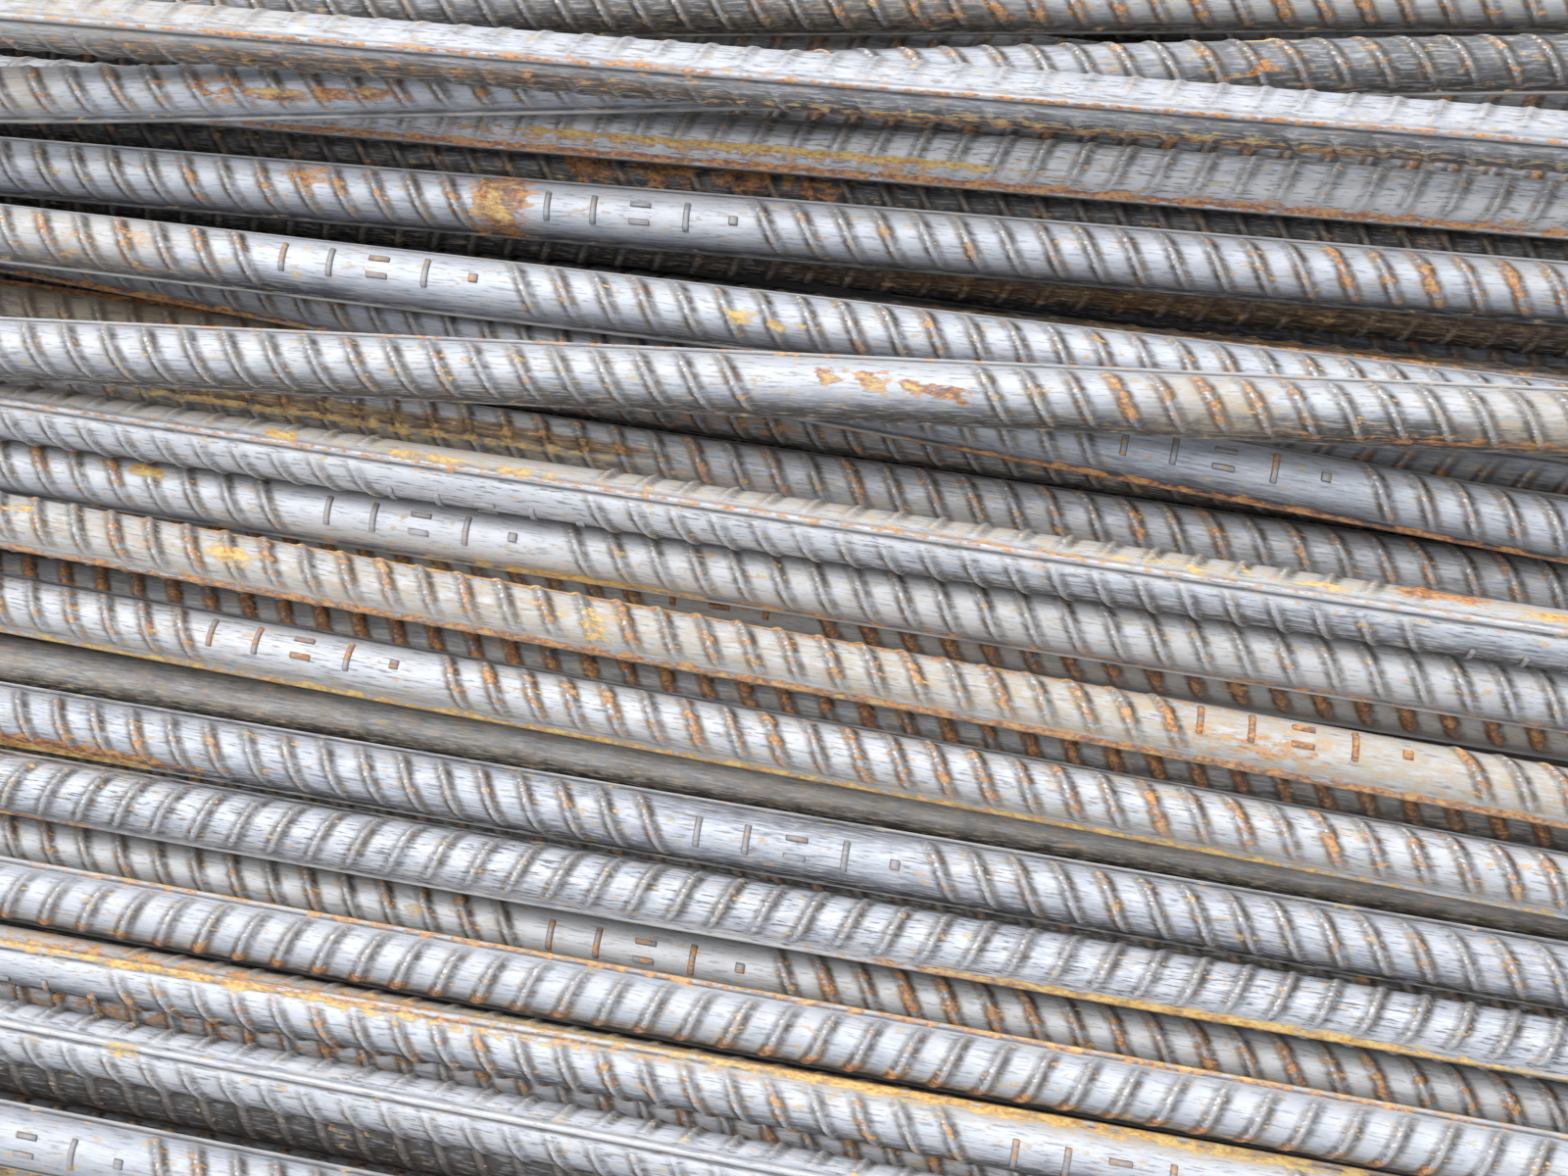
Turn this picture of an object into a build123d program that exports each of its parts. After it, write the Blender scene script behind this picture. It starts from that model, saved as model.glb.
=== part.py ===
"""Loose bundle of reinforcing bars, 25 mm in diameter, in a stock length of 6 m.

The bars lie along X on a level floor: a flat bottom layer, a middle layer, and a top layer with a few bars
that cross the others. The origin is on the floor, at the middle of the bundle. Sizes are in millimetres.
A bar's side is its place along Y, and its plan angle is in degrees from X, seen from above.
"""
import os
from math import radians, tan

import numpy as np
from build123d import *

# The bar: its ribs are fine relief, so the solid is the plain round section of the nominal diameter
bar_diameter = 25.0
bar_length = 6000.0

# The clearance between two bars where one bears on the other
contact_clearance = 0.4
contact_distance = bar_diameter + contact_clearance

# The bottom layer lies side by side on the floor
bottom_count = 24
bottom_pitch = contact_distance

# A bent bar has one bend on each side of the middle, and its plan angle is between them
left_bend = -430.0
right_bend = 370.0

# A large bend is rounded over this length on each side of its corner
sharpest_corner = 6.0
bend_reach = 150.0

# The sheared ends don't quite line up
end_stagger = 14.0

# Each middle bar's side at the middle of the bundle, in bottom pitches, and its plan angle, from back to front
middle_layer = [
    (9.95, 1.1),
    (8.9, 1.25),
    (7.75, 1.6),
    (6.35, 2.2),
    (5.25, 2.0),
    (4.15, 1.8),
    (2.5, 0.0),
    (1.5, 0.0),
    (0.5, 0.0),
    (-0.6, 0.0),
    (-2.05, 0.0),
    (-3.4, 0.0),
    (-4.8, 0.0),
    (-6.2, 0.0),
    (-7.3, 0.0),
    (-8.5, 0.0),
    (-9.65, 0.0),
    (-10.65, 0.0),
]

# The same for the top layer, in the order in which the bars were laid
top_layer = [
    (6.7, 2.4),
    (5.3, 2.7),
    (2.7, -2.6),
    (-0.3, 0.0),
    (0.45, 0.0),
    (-1.5, -1.1),
    (-2.75, -1.1),
    (-4.25, 0.0),
    (-5.3, 0.0),
    (-6.9, 0.0),
    (-7.9, 0.0),
    (-9.0, 0.0),
    (-10.5, 0.0),
]

# The bars laid last, across the others
crossing_bars = [
    (9.2, 7.4),
    (3.55, 1.8),
    (7.6, 9.4),
    (7.0, 3.2),
    (2.45, 5.5),
]

# The stations of a bar are its ends and its bends, and the samples are where it is tested for clearance
stations = np.array([-bar_length / 2, left_bend, right_bend, bar_length / 2])
sample_spacing = 20.0
samples = np.linspace(-bar_length / 2, bar_length / 2, int(bar_length / sample_spacing) + 1)
lay_tolerance = 0.01

# A bent bar's heights are whole tenths, so that its level runs are truly level
height_step = 0.1


class Bar:
    """The axis of one bar, as its side and its height at each station."""

    def __init__(self, place, plan_angle):
        self.straight = plan_angle == 0
        self.reach = bend_reach if abs(plan_angle) > sharpest_corner else 0.0
        sideways = tan(radians(plan_angle)) * np.clip(stations, left_bend, right_bend)
        self.sides = place * bottom_pitch + sideways
        self.heights = np.full(len(stations), bar_diameter / 2)
        self.side = self.sampled(self.sides)
        self.height = self.sampled(self.heights)
        # Cut across the bundle, a bar at an angle is wider than its diameter
        self.widening = np.hypot(1, np.gradient(self.side, samples))

    def sampled(self, values):
        """The side or height at each sample: straight between stations, and eased where a bend is rounded."""
        result = np.interp(samples, stations, values)
        slopes = np.diff(values) / np.diff(stations)
        if self.reach:
            for bend in (1, 2):
                near = np.maximum(0, self.reach - abs(samples - stations[bend]))
                result += (slopes[bend] - slopes[bend - 1]) * near**2 / (4 * self.reach)
        return result

    def corners(self, shift):
        """The corners of the axis from end to end. Every bar has the same length, so a bent one reaches less far."""
        points = [Vector(*point) for point in zip(stations, self.sides, self.heights)]
        runs = [end - start for start, end in zip(points, points[1:])]
        excess = sum(run.length for run in runs) - bar_length
        points[0] += runs[0].normalized() * (excess / 2 + shift)
        points[-1] -= runs[-1].normalized() * (excess / 2 - shift)
        return points


def bearing_heights(bar, below):
    """The lowest height at each sample at which the bar clears the bars below it and the floor."""
    lowest = np.full(len(samples), bar_diameter / 2)
    for other in below:
        apart = (bar.side - other.side) * 2 / (bar.widening + other.widening)
        rise = np.sqrt(np.maximum(0, contact_distance**2 - apart**2))
        lowest = np.where(rise > 0, np.maximum(lowest, other.height + rise), lowest)
    return lowest


def lay(bar, below):
    """Lays the bar as low as it goes. A straight bar stays level, and a bent one follows what it lies on."""
    needed = bearing_heights(bar, below)
    if bar.straight:
        bar.heights[:] = needed.max()
    else:
        bar.heights = np.interp(stations, samples, needed)
        lack = needed - bar.sampled(bar.heights)
        while lack.max() > lay_tolerance:
            worst = lack.argmax()
            run = min(np.searchsorted(stations[1:], samples[worst]), len(stations) - 2)
            share = (samples[worst] - stations[run]) / (stations[run + 1] - stations[run])
            weights = np.array([1 - share, share])
            bar.heights[run : run + 2] += lack[worst] * weights / sum(weights**2)
            lack = needed - bar.sampled(bar.heights)
        bar.heights = np.ceil(bar.heights / height_step) * height_step
    bar.height = bar.sampled(bar.heights)


def stagger(number):
    """A small shift along the bundle that differs from bar to bar and is even about zero."""
    return end_stagger * ((number * 5) % 7 - 3) / 3


def make_bar(name, bar, shift):
    """One bar, swept along its axis and written as its own node."""
    corners = bar.corners(shift)
    turn = (corners[2] - corners[1]).get_angle(corners[1] - corners[0])
    with BuildPart() as piece:
        with BuildLine() as axis:
            if bar.straight:
                Line(corners[0], corners[-1])
            elif bar.reach:
                FilletPolyline(*corners, radius=bend_reach / tan(radians(turn) / 2))
            else:
                Polyline(*corners)
        with BuildSketch(Plane(origin=corners[0], z_dir=corners[1] - corners[0])):
            Circle(bar_diameter / 2)
        sweep(path=axis.wire(), transition=Transition.RIGHT)
    piece.part.label = name
    export_step(piece.part, f"parts/{name}.step")


bottom_bars = []
for number in range(bottom_count):
    bottom_bars.append(Bar(number - (bottom_count - 1) / 2, 0))

middle_bars = []
for place, plan_angle in middle_layer:
    bar = Bar(place, plan_angle)
    lay(bar, bottom_bars + middle_bars)
    middle_bars.append(bar)

top_bars = []
for place, plan_angle in top_layer + crossing_bars:
    bar = Bar(place, plan_angle)
    lay(bar, bottom_bars + middle_bars + top_bars)
    top_bars.append(bar)

os.makedirs("parts", exist_ok=True)
for layer, bars in (("bottom", bottom_bars), ("middle", middle_bars), ("top", top_bars)):
    for number, bar in enumerate(bars, 1):
        make_bar(f"{layer}_bar_{number:02d}", bar, stagger(number))
        print(f"{layer} bar {number}: sides {bar.sides.round(1)}, heights {bar.heights.round(1)}")
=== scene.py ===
"""The looks of a loose bundle of ribbed bars: rolled ribs, mill scale, dust and rust, on a pale floor.

Lengths are in metres. On a bar, a place along is measured on its axis from the middle of the bundle, and
an angle is measured round the axis from the top towards the front, in degrees. A turn is an angle measured
from the bar's first lengthwise rib. Each bar has two lengthwise ribs, opposite each other, and two rows of
slanting ribs between them, which mirror each other.
"""
from math import cos, pi, radians, sin, tan

import bpy
import numpy as np
from mathutils import Matrix, Vector


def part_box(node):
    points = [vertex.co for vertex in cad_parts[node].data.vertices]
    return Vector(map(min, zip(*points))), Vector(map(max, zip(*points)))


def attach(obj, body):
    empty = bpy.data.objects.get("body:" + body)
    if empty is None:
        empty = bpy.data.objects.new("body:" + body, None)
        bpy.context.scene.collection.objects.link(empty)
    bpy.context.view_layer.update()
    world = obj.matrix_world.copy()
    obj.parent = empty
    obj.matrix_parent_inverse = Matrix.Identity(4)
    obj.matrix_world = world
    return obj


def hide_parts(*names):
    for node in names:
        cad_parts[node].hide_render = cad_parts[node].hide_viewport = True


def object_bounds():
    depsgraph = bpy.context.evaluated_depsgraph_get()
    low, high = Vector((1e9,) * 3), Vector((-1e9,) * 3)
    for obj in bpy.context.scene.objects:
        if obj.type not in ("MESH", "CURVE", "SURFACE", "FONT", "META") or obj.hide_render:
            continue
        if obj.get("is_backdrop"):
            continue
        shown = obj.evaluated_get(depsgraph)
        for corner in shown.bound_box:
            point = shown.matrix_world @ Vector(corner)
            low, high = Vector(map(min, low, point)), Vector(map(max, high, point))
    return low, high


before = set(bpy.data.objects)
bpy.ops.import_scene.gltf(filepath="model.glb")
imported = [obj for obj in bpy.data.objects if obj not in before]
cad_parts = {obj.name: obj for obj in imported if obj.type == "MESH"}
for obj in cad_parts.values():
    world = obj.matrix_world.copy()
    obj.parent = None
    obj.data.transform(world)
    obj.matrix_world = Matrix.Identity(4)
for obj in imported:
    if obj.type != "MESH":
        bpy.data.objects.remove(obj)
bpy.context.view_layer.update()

# The bar: a round core, and the crests of its ribs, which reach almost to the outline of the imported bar
low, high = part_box("bottom_bar_01")
nominal_radius = (high.z - low.z) / 2
crest_radius = nominal_radius - 0.00005
core_radius = nominal_radius - 0.0015

# The slanting ribs: their pitch, half their breadth at half their height, and their angle to the bar's axis
rib_pitch = 0.016
rib_half_width = 0.0018
rib_slant = 61.0

# The middle of their heights and how far each may be from it, as shares of the full height
mean_height = 0.88
height_swing = 0.12

# The second row of slanting ribs is steeper than the first, except near the lengthwise ribs
second_slant = 0.62

# The slanting ribs die out this near the lengthwise ones, as a share of the quarter turn between, and this
# is the power by which they sink towards there
rib_reach = 0.9
rib_taper = 0.7

# The pitches over which the slant straightens out towards the ends of the bar
slant_ease = 2

# The lengthwise ribs: the turn from their middle to the edge of their crest, and to their foot
lengthwise_crest = 3.5
lengthwise_foot = 7.5

# The rings of vertices run along the ribs, so that a few of them to each rib give its shape. They lie this
# far from its middle on bars in the open, on bars deep between others, and where a bar shows only from afar.
open_rings = np.array([-3.1, -2.1, -1.4, -0.6, 0.6, 1.4, 2.1, 3.1]) / 1000
deep_rings = np.array([-2.7, -1.1, 1.1, 2.7]) / 1000
far_rings = np.array([-2.4, 0.0, 2.4]) / 1000

# The longest step between the rings of a hidden stretch
plain_step = 0.25

# The turn between the vertices of a ring, for the same three and where a bar faces down
open_turn = 13.0
deep_turn = 20.0
far_turn = 45.0
hidden_turn = 36.0

# The angle from the top beyond which a bar is out of view from above
faces_down = 95

# The sheared ends, with their edge worn round
end_turn = 15.0
end_edge = 0.0006
end_collar = 0.010

# The raised marks: the place along and round, from the middle of a smooth stretch, and half their length and
# breadth. Their edges slope over a short way, they are rooted in the core, and their tops have a few steps.
marks = [
    (-0.039, 0.0, 0.0015, 0.0062),
    (-0.020, 0.0, 0.0015, 0.0062),
    (-0.001, -0.0035, 0.0045, 0.0014),
    (-0.001, 0.0035, 0.0045, 0.0014),
    (0.018, 0.0, 0.0015, 0.0062),
    (0.037, 0.0, 0.0021, 0.0021),
]
mark_height = 0.0010
mark_edge = 0.0007
mark_root = 0.0003
steps_along = 2
steps_round = 6

# The longest smooth stretch that has marks, and the bars whose stretches have none
longest_marked = 0.12
unmarked = ["top_bar_18"]

# The marks hold dirt, painted shade and rust as a slanting rib does this far from its middle, in pitches
mark_top_phase = 0.04
mark_rim_phase = 0.14

# The bars whose slanting ribs are worn low, as a share of the full height
worn_ribs = {"top_bar_17": 0.55, "top_bar_01": 0.75, "middle_bar_09": 0.30}

# The stretch of the bundle that the camera sees from close by
near_left = -0.395
near_right = 0.325

# The bars that show in that stretch, and those that show only deep between them
top_bars = [f"top_bar_{number:02d}" for number in range(1, 19)]
open_bars = top_bars + [f"middle_bar_{number:02d}" for number in (4, 7, 8, 10, 11, 12, 14, 16)]
open_bars += ["bottom_bar_01"]
deep_bars = [f"middle_bar_{number:02d}" for number in (3, 5, 6, 9, 13, 15, 17, 18)]

# The bars that show from the sides, or from above along their whole length
outer_bars = top_bars + ["bottom_bar_01", "bottom_bar_24", "middle_bar_01", "middle_bar_02", "middle_bar_18"]

# The angle of the first lengthwise rib at the left and at the right of the near stretch
rolls = {
    "top_bar_14": (-82, -82),
    "top_bar_16": (-95, -95),
    "top_bar_17": (17, 27),
    "top_bar_01": (74, 78),
    "middle_bar_04": (-70, -70),
    "top_bar_02": (-82, -80),
    "top_bar_15": (-96, -90),
    "top_bar_03": (-97, -95),
    "middle_bar_07": (-60, -60),
    "top_bar_18": (-80, -76),
    "middle_bar_08": (-99, -97),
    "top_bar_05": (-9, -4),
    "top_bar_04": (-88, -88),
    "middle_bar_10": (-85, -85),
    "top_bar_06": (-116, -114),
    "middle_bar_11": (-100, -100),
    "top_bar_07": (-105, -105),
    "middle_bar_12": (-96, -96),
    "top_bar_08": (-88, -86),
    "top_bar_09": (94, 50),
    "middle_bar_14": (-90, -90),
    "top_bar_10": (106, 104),
    "top_bar_11": (-12, -92),
    "middle_bar_16": (-80, -80),
    "top_bar_12": (-20, -20),
    "top_bar_13": (-88, -88),
    "bottom_bar_01": (-70, -70),
}

# The stretches where the rolls leave out the slanting ribs, from and to
smooth_stretches = {
    "top_bar_02": [(-0.127, -0.033)],
    "top_bar_15": [(-0.215, -0.131)],
    "top_bar_18": [(-0.024, 0.068)],
    "top_bar_03": [(0.115, 0.206)],
    "top_bar_05": [(-0.163, -0.071), (0.247, 0.340)],
    "top_bar_04": [(-0.194, -0.095)],
    "middle_bar_10": [(-0.062, 0.012)],
    "top_bar_06": [(0.151, 0.253)],
    "top_bar_07": [(-0.229, -0.136)],
    "middle_bar_12": [(-0.400, 0.330)],
    "top_bar_08": [(-0.026, 0.071)],
    "middle_bar_14": [(-0.080, 0.018)],
    "top_bar_11": [(-0.330, -0.225), (0.105, 0.210)],
    "top_bar_13": [(-0.300, -0.198)],
}

# Each bar in view: how pale it is, how dusty, how rusty its ribs are and how flaky its scale is. The
# paleness is partly painted light and shade: the bars that lie deep between others are made dark as painted
# shade, and middle_bar_09, middle_bar_10 and middle_bar_14, which lie in shade, are made paler as painted
# light.
finishes = {
    "top_bar_14": (0.55, 0.15, 0.30, 0.30),
    "top_bar_16": (0.66, 0.12, 0.40, 0.30),
    "top_bar_17": (0.76, 0.22, 0.05, 0.60),
    "top_bar_01": (0.84, 0.22, 0.15, 0.80),
    "middle_bar_04": (0.16, 0.10, 0.35, 0.20),
    "top_bar_02": (0.86, 0.05, 0.30, 0.25),
    "middle_bar_05": (0.30, 0.10, 0.30, 0.50),
    "middle_bar_06": (0.30, 0.10, 0.30, 0.50),
    "top_bar_15": (0.86, 0.05, 0.35, 0.30),
    "top_bar_03": (0.72, 0.08, 0.35, 0.30),
    "middle_bar_07": (0.62, 0.40, 0.40, 0.90),
    "top_bar_18": (0.88, 0.18, 0.28, 0.40),
    "middle_bar_08": (0.66, 0.25, 0.45, 0.50),
    "middle_bar_09": (1.00, 0.60, 0.15, 0.90),
    "top_bar_05": (0.90, 0.10, 0.20, 0.70),
    "top_bar_04": (0.96, 0.06, 0.25, 0.30),
    "middle_bar_10": (1.15, 0.55, 0.60, 0.40),
    "top_bar_06": (0.86, 0.55, 0.45, 0.90),
    "middle_bar_11": (0.50, 0.35, 0.80, 0.50),
    "top_bar_07": (0.84, 0.22, 0.42, 0.70),
    "middle_bar_12": (0.42, 0.50, 0.10, 0.45),
    "top_bar_08": (0.72, 0.08, 0.32, 0.60),
    "middle_bar_13": (0.12, 0.15, 0.45, 0.40),
    "top_bar_09": (0.76, 0.10, 0.15, 1.00),
    "middle_bar_14": (1.00, 0.18, 0.40, 0.30),
    "middle_bar_15": (0.18, 0.20, 0.45, 0.40),
    "top_bar_10": (0.84, 0.12, 0.20, 0.25),
    "top_bar_11": (0.82, 0.12, 0.42, 0.50),
    "middle_bar_16": (0.80, 0.25, 0.50, 0.40),
    "middle_bar_17": (0.10, 0.10, 0.00, 0.20),
    "top_bar_12": (0.84, 0.15, 0.08, 0.70),
    "middle_bar_18": (0.40, 0.30, 0.50, 0.40),
    "top_bar_13": (0.76, 0.15, 0.40, 0.30),
}

# The least and the most of the same for the other bars
least_finish = (0.45, 0.0, 0.30, 0.20)
most_finish = (0.75, 0.40, 0.55, 0.80)

# How much painted shade darkens the front and the underside of a bar
painted_shade_strength = 0.24

# The least spread of a patch outside the near stretch, where it is as much weaker as it is wider
far_spread = 35

# The patches of each bar: the place along, half the length, the angle, half the spread and the strength.
# A patch a few degrees wide is a line on a lengthwise rib. A tone patch makes the bar paler, or darker where
# it is negative, and a ribs patch rusts only the slanting ribs. Many tone patches are painted light and
# shade: the darker ones on the front, on the underside and under neighbours are painted shade, and the paler
# ones lift parts that lie in shade or are painted highlights along lengthwise ribs. Those that go all round
# a bar are uneven tone of the scale.
patches = {
    "tone": {
        "top_bar_14": [
            (-0.270, 0.110, 10, 180, -0.25),
            (-0.060, 0.120, 40, 50, -0.35),
            (0.200, 0.160, 10, 180, 0.15),
        ],
        "top_bar_16": [
            (-0.200, 0.200, 42, 36, 0.22),
            (-0.020, 0.240, -62, 26, -0.30),
            (0.230, 0.130, 10, 180, -0.34),
        ],
        "top_bar_17": [(-0.010, 0.400, 56, 34, -0.25)],
        "top_bar_01": [
            (0.050, 0.300, -62, 34, -0.50),
            (0.100, 0.400, 45, 40, 0.35),
            (0.120, 0.240, -30, 22, -0.25),
        ],
        "top_bar_02": [(-0.080, 0.045, 10, 70, 0.10), (0.300, 0.100, 60, 40, -0.15)],
        "top_bar_15": [
            (-0.270, 0.110, 60, 34, -0.36),
            (0.000, 0.100, 62, 28, -0.20),
            (0.220, 0.120, 56, 38, -0.36),
        ],
        "top_bar_03": [(0.160, 0.060, 40, 60, -0.15)],
        "middle_bar_07": [(-0.280, 0.120, 0, 90, -0.35), (0.240, 0.130, 20, 90, -0.45)],
        "top_bar_18": [(0.000, 0.400, 64, 34, -0.42), (0.250, 0.160, 56, 40, -0.60)],
        # Painted shadow of a neighbouring bar over the upper side, and painted shade lower on the front
        "middle_bar_08": [(-0.250, 0.070, -50, 38, -0.70), (-0.180, 0.120, 50, 25, -0.50)],
        "top_bar_05": [
            (-0.050, 0.400, 60, 45, 0.10),
            (-0.010, 0.400, -55, 40, -0.08),
            (0.200, 0.180, 62, 36, -0.30),
        ],
        # Painted light on a part that lies in shade
        "middle_bar_10": [(0.180, 0.200, 48, 38, 0.30)],
        "top_bar_06": [(-0.010, 0.400, 92, 18, -0.45)],
        "middle_bar_11": [(-0.010, 0.500, 60, 40, -0.20)],
        # The first is a painted highlight along the lengthwise rib
        "top_bar_07": [(-0.040, 0.400, 75, 9, 0.40), (0.000, 0.500, 52, 14, -0.20)],
        # Painted shade in the gap under a neighbour
        "middle_bar_12": [(-0.010, 0.500, 62, 30, -0.90)],
        "top_bar_08": [(0.000, 0.500, 58, 26, -0.20), (0.020, 0.060, -45, 30, -0.25)],
        "top_bar_09": [(-0.220, 0.170, 86, 11, 0.50), (0.140, 0.200, 62, 10, 0.50)],
        "top_bar_10": [(0.000, 0.500, 62, 28, -0.30)],
        "top_bar_11": [(0.000, 0.500, 58, 32, -0.36)],
    },
    "rust": {
        "top_bar_14": [(0.060, 0.060, 35, 30, 0.22)],
        "top_bar_16": [
            (-0.255, 0.012, 12, 30, 0.45),
            (-0.231, 0.012, 33, 13, 0.90),
            (-0.209, 0.009, 31, 13, 0.90),
            (-0.193, 0.008, 32, 12, 0.90),
            (-0.090, 0.010, 10, 20, 0.50),
            (0.155, 0.008, 20, 25, 0.50),
        ],
        "top_bar_17": [
            (-0.200, 0.130, 60, 20, 0.22),
            (-0.160, 0.160, 19, 6, 0.50),
            (0.090, 0.170, 88, 16, 0.45),
            (0.120, 0.200, 25, 5, 0.50),
        ],
        "top_bar_01": [(-0.060, 0.110, 36, 9, 0.60), (0.030, 0.330, 66, 9, 0.80)],
        "middle_bar_04": [
            (-0.112, 0.012, 10, 30, 0.62),
            (-0.078, 0.012, 10, 30, 0.62),
            (-0.044, 0.012, 10, 30, 0.60),
            (-0.014, 0.012, 10, 30, 0.55),
        ],
        "top_bar_02": [(-0.220, 0.010, -20, 30, 0.50), (-0.138, 0.011, 10, 90, 0.85)],
        "middle_bar_05": [(0.200, 0.160, -20, 12, 0.45)],
        "middle_bar_06": [(0.120, 0.160, -20, 12, 0.45)],
        "top_bar_15": [(-0.290, 0.030, 30, 50, 0.16)],
        "top_bar_03": [(-0.280, 0.080, 84, 10, 0.60), (0.170, 0.140, 85, 8, 0.98)],
        "middle_bar_07": [(-0.270, 0.120, -58, 12, 0.80), (-0.100, 0.200, 30, 60, 0.20)],
        "top_bar_18": [
            (-0.010, 0.300, -79, 7, 0.48),
            (0.009, 0.006, -11, 18, 0.90),
            (0.025, 0.006, -8, 18, 0.90),
            (0.039, 0.004, 5, 14, 0.80),
            (0.053, 0.005, 13, 16, 0.80),
            (0.060, 0.004, 30, 12, 0.70),
            (0.250, 0.080, 75, 20, 0.45),
        ],
        "middle_bar_08": [(0.200, 0.130, 74, 10, 0.95)],
        "top_bar_05": [
            (-0.060, 0.380, -8, 7, 0.36),
            (0.232, 0.006, -55, 22, 0.85),
            (0.250, 0.006, -55, 22, 0.70),
            (0.311, 0.006, -50, 20, 0.85),
            (0.326, 0.006, -46, 20, 0.85),
        ],
        "top_bar_04": [(-0.280, 0.100, -68, 7, 0.65), (0.050, 0.300, 80, 6, 0.60)],
        "top_bar_06": [
            (-0.050, 0.250, -64, 9, 0.60),
            (0.000, 0.400, 68, 12, 0.80),
            (0.185, 0.030, 10, 30, 0.32),
        ],
        "top_bar_07": [(-0.040, 0.340, 76, 9, 0.80)],
        "top_bar_08": [(-0.280, 0.060, 62, 24, 0.80)],
        "top_bar_09": [(-0.280, 0.050, 87, 6, 0.85), (0.200, 0.140, 60, 9, 1.00)],
        "middle_bar_14": [(-0.040, 0.280, 60, 30, 0.26)],
        "top_bar_10": [(0.010, 0.330, -74, 8, 0.50)],
        "top_bar_11": [
            (-0.200, 0.150, -32, 9, 0.60),
            (-0.150, 0.200, -52, 22, 0.34),
            (0.020, 0.330, 92, 14, 0.48),
            (0.080, 0.150, -64, 12, 0.60),
            (0.150, 0.150, -80, 12, 0.60),
        ],
        "middle_bar_16": [(-0.200, 0.100, 20, 60, 0.30)],
        "top_bar_13": [(-0.200, 0.080, 70, 24, 0.30)],
        "bottom_bar_01": [(-0.300, 0.080, 0, 30, 0.45)],
    },
    "ribs": {
        "top_bar_14": [(0.120, 0.160, 30, 60, 0.30)],
        "top_bar_02": [(-0.200, 0.080, 20, 80, 0.15), (0.260, 0.090, 20, 80, 0.30)],
        "top_bar_15": [(-0.280, 0.070, 20, 80, 0.10)],
        "top_bar_18": [(0.140, 0.045, 0, 80, 0.30)],
        "top_bar_04": [(-0.300, 0.060, -30, 40, 0.35)],
        "middle_bar_10": [(0.000, 0.400, 10, 80, 0.20), (0.200, 0.160, 10, 80, 0.35)],
        "top_bar_06": [(0.200, 0.055, 10, 70, 0.35)],
        "top_bar_07": [(0.000, 0.300, 10, 60, 0.12)],
        "top_bar_08": [(-0.280, 0.070, 60, 50, 0.30)],
        "middle_bar_14": [(0.150, 0.150, 10, 60, 0.20)],
        "top_bar_10": [(0.010, 0.400, 64, 24, 0.85)],
    },
    "yellow": {
        "top_bar_16": [
            (-0.229, 0.008, 30, 9, 0.75),
            (-0.193, 0.005, 30, 9, 0.75),
            (0.157, 0.009, -60, 22, 0.55),
        ],
        "top_bar_17": [(0.100, 0.160, 76, 10, 0.42)],
        "top_bar_01": [(-0.040, 0.110, 32, 8, 1.00)],
        "top_bar_02": [(-0.138, 0.006, 5, 50, 0.58)],
        "top_bar_15": [
            (-0.205, 0.004, 20, 18, 0.58),
            (-0.032, 0.004, 10, 18, 0.58),
            (-0.016, 0.004, 20, 18, 0.55),
        ],
        "top_bar_18": [
            (0.009, 0.0045, -13, 12, 0.85),
            (0.026, 0.0045, -6, 12, 0.90),
            (0.039, 0.003, 4, 8, 0.60),
        ],
        "middle_bar_08": [(-0.180, 0.120, 20, 4, 1.20)],
        "top_bar_05": [
            (-0.202, 0.011, -27, 13, 0.90),
            (-0.145, 0.022, -25, 11, 0.72),
            (-0.105, 0.016, -20, 9, 0.54),
            (0.170, 0.060, -26, 14, 0.38),
            (0.282, 0.012, -34, 12, 0.85),
            (0.311, 0.004, -52, 14, 0.70),
            (0.327, 0.005, -46, 14, 0.80),
        ],
        "top_bar_04": [(-0.262, 0.010, -24, 16, 0.85), (-0.085, 0.050, 80, 10, 0.75)],
        "top_bar_06": [
            (-0.305, 0.006, -28, 18, 0.80),
            (-0.217, 0.010, -8, 18, 0.72),
            (-0.110, 0.140, -70, 8, 0.85),
            (-0.068, 0.008, 5, 40, 0.48),
            (0.020, 0.350, 70, 8, 0.50),
        ],
        "top_bar_07": [(-0.040, 0.340, 76, 9, 0.72), (-0.020, 0.340, -70, 6, 0.90)],
        "top_bar_08": [(-0.290, 0.055, 80, 12, 0.85)],
        "top_bar_09": [
            (-0.280, 0.050, 90, 7, 0.60),
            (0.160, 0.070, 64, 8, 0.50),
            (0.220, 0.130, 56, 10, 0.74),
        ],
        "middle_bar_14": [(-0.126, 0.005, 0, 18, 0.64)],
        "top_bar_10": [(0.010, 0.330, -80, 8, 0.85)],
        "top_bar_11": [
            (-0.200, 0.140, -28, 8, 0.62),
            (0.080, 0.180, -62, 16, 0.66),
            (0.220, 0.080, -66, 20, 0.46),
        ],
        "top_bar_12": [(-0.221, 0.007, -10, 18, 0.58)],
        "bottom_bar_01": [(-0.320, 0.080, 10, 30, 0.55)],
    },
    "stain": {
        "top_bar_17": [(-0.170, 0.180, 62, 26, 0.50)],
        "middle_bar_04": [(-0.100, 0.350, 20, 70, 0.20)],
        "middle_bar_05": [(0.150, 0.280, 0, 90, 0.62)],
        "middle_bar_06": [(0.150, 0.280, 0, 90, 0.62)],
        "top_bar_03": [(-0.280, 0.080, 70, 20, 0.45)],
        "middle_bar_07": [(-0.290, 0.100, 0, 90, 0.42)],
        "middle_bar_08": [(-0.190, 0.130, 2, 18, 1.20)],
        "middle_bar_09": [(0.050, 0.300, 0, 90, 0.22)],
        "top_bar_06": [(0.000, 0.400, 90, 12, 0.45)],
        "top_bar_08": [(-0.300, 0.060, 80, 18, 0.60)],
    },
    "dust": {
        "top_bar_14": [(0.150, 0.200, 0, 90, 0.25)],
        "top_bar_16": [(-0.335, 0.014, 0, 70, 0.60)],
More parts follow.
